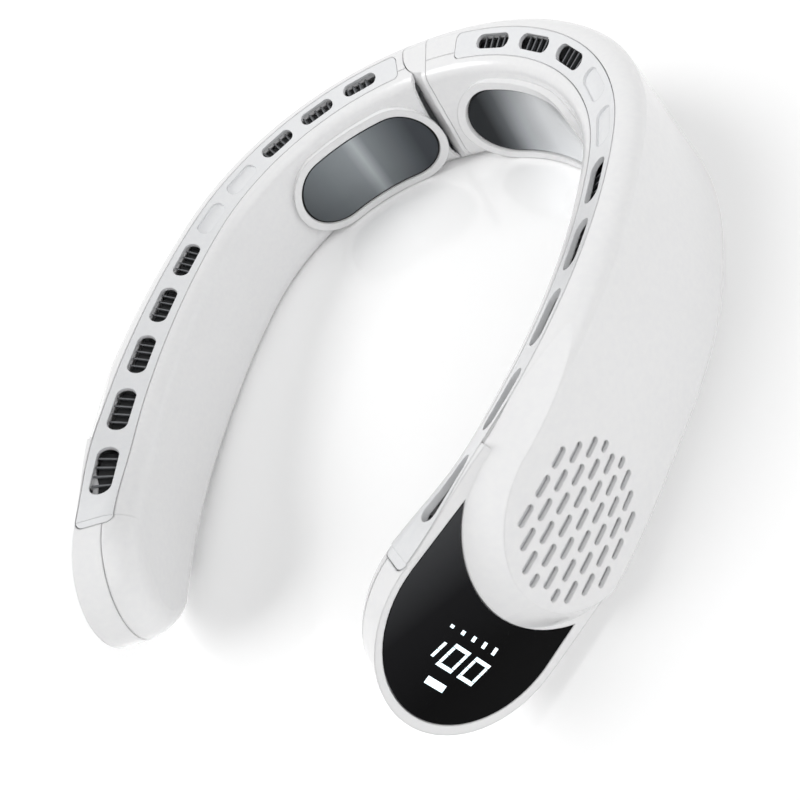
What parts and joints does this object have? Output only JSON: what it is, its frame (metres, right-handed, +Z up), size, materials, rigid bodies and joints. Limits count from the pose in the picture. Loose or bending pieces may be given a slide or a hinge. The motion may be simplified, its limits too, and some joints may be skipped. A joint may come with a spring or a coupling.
{
  "type": "neck fan",
  "caption": "Wearable horseshoe neck fan with vented hinged arms, cooling plates at the nape, round air grilles and a black display panel at an arm's end.",
  "frame": {"origin": "middle of the bounding box in plan, on the surface that the fan rests on", "axes": "+X to the display arm, +Y to the back of the neck, +Z up when the fan lies on its flat foot"},
  "size_m": [0.195, 0.2154, 0.0493],
  "materials": {
    "white_shell": "gloss moulded white",
    "white_strip": "gloss moulded white",
    "black_panel": "piano black gloss",
    "cold_metal": "polished metal plate",
    "dark_seal": "black seal",
    "grey_plastic": "moulded dark grey",
    "zinc_steel": "zinc plated",
    "bronze": "sintered sleeve",
    "copper_winding": "wound copper",
    "ceramic_white": "ceramic faces",
    "bare_aluminium": "extruded",
    "cell_wrap": "foil pouch",
    "dark_magnet": "bonded ferrite",
    "white_light": "lit light guide",
    "board_green": "solder mask",
    "switch_black": "moulded",
    "mesh_white": "fine woven mesh",
    "button_black": "piano black gloss"
  },
  "bodies": {
    "right_arm": {"right_inner_shell": "white_shell", "right_outer_shell": "white_shell", "right_vent_strip": "white_strip", "right_end_panel": "black_panel", "right_cold_plate": "cold_metal", "right_plate_seal": "dark_seal", "right_plate_frame": "white_shell", "right_air_duct": "grey_plastic", "right_motor_base": "zinc_steel", "right_motor_bearing": "bronze", "right_motor_stator": "copper_winding", "right_fan_scroll": "grey_plastic", "right_fan_screws": "zinc_steel", "right_cooler_module": "ceramic_white", "right_heat_sink": "bare_aluminium", "right_battery_cell": "cell_wrap", "right_dust_mesh": "mesh_white", "display_digits": "white_light", "display_marks": "white_light", "display_bar": "white_light", "display_board": "board_green", "hinge_barrel": "white_shell"},
    "left_arm": {"left_inner_shell": "white_shell", "left_outer_shell": "white_shell", "left_vent_strip": "white_strip", "left_end_panel": "black_panel", "left_cold_plate": "cold_metal", "left_plate_seal": "dark_seal", "left_plate_frame": "white_shell", "left_air_duct": "grey_plastic", "left_motor_base": "zinc_steel", "left_motor_bearing": "bronze", "left_motor_stator": "copper_winding", "left_fan_scroll": "grey_plastic", "left_fan_screws": "zinc_steel", "left_cooler_module": "ceramic_white", "left_heat_sink": "bare_aluminium", "left_battery_cell": "cell_wrap", "left_dust_mesh": "mesh_white", "control_board": "board_green", "button_switches": "switch_black", "charging_port": "zinc_steel", "hinge_yoke": "grey_plastic", "hinge_pin": "zinc_steel"},
    "right_rotor": {"right_rotor_magnet": "dark_magnet", "right_motor_shaft": "zinc_steel", "right_impeller": "grey_plastic"},
    "left_rotor": {"left_rotor_magnet": "dark_magnet", "left_motor_shaft": "zinc_steel", "left_impeller": "grey_plastic"},
    "power_button": {"power_button": "button_black"},
    "cooling_button": {"cooling_button": "button_black"}
  },
  "joints": [
    {"name": "back_hinge", "type": "hinge", "parent": "right_arm", "child": "left_arm", "pos_m": [-0.002, 0.09688, 0.022], "axis": [0, 0, -1], "range_deg": [-5, 12]},
    {"name": "right_fan_spin", "type": "hinge", "parent": "right_arm", "child": "right_rotor", "pos_m": [0.06426, -0.0639, 0.02254], "axis": [0.8692, -0.3763, 0.3206], "continuous": true},
    {"name": "left_fan_spin", "type": "hinge", "parent": "left_arm", "child": "left_rotor", "pos_m": [-0.06426, -0.0639, 0.02254], "axis": [-0.8692, -0.3763, 0.3206], "continuous": true},
    {"name": "power_press", "type": "slide", "parent": "left_arm", "child": "power_button", "axis": [0.8078, 0.4687, -0.3575], "range_m": [0, 0.00035], "stiffness_N_per_m": 600, "springref_m": -0.001},
    {"name": "cooling_press", "type": "slide", "parent": "left_arm", "child": "cooling_button", "axis": [0.8078, 0.4687, -0.3575], "range_m": [0, 0.00035], "stiffness_N_per_m": 600, "springref_m": -0.001}
  ]
}
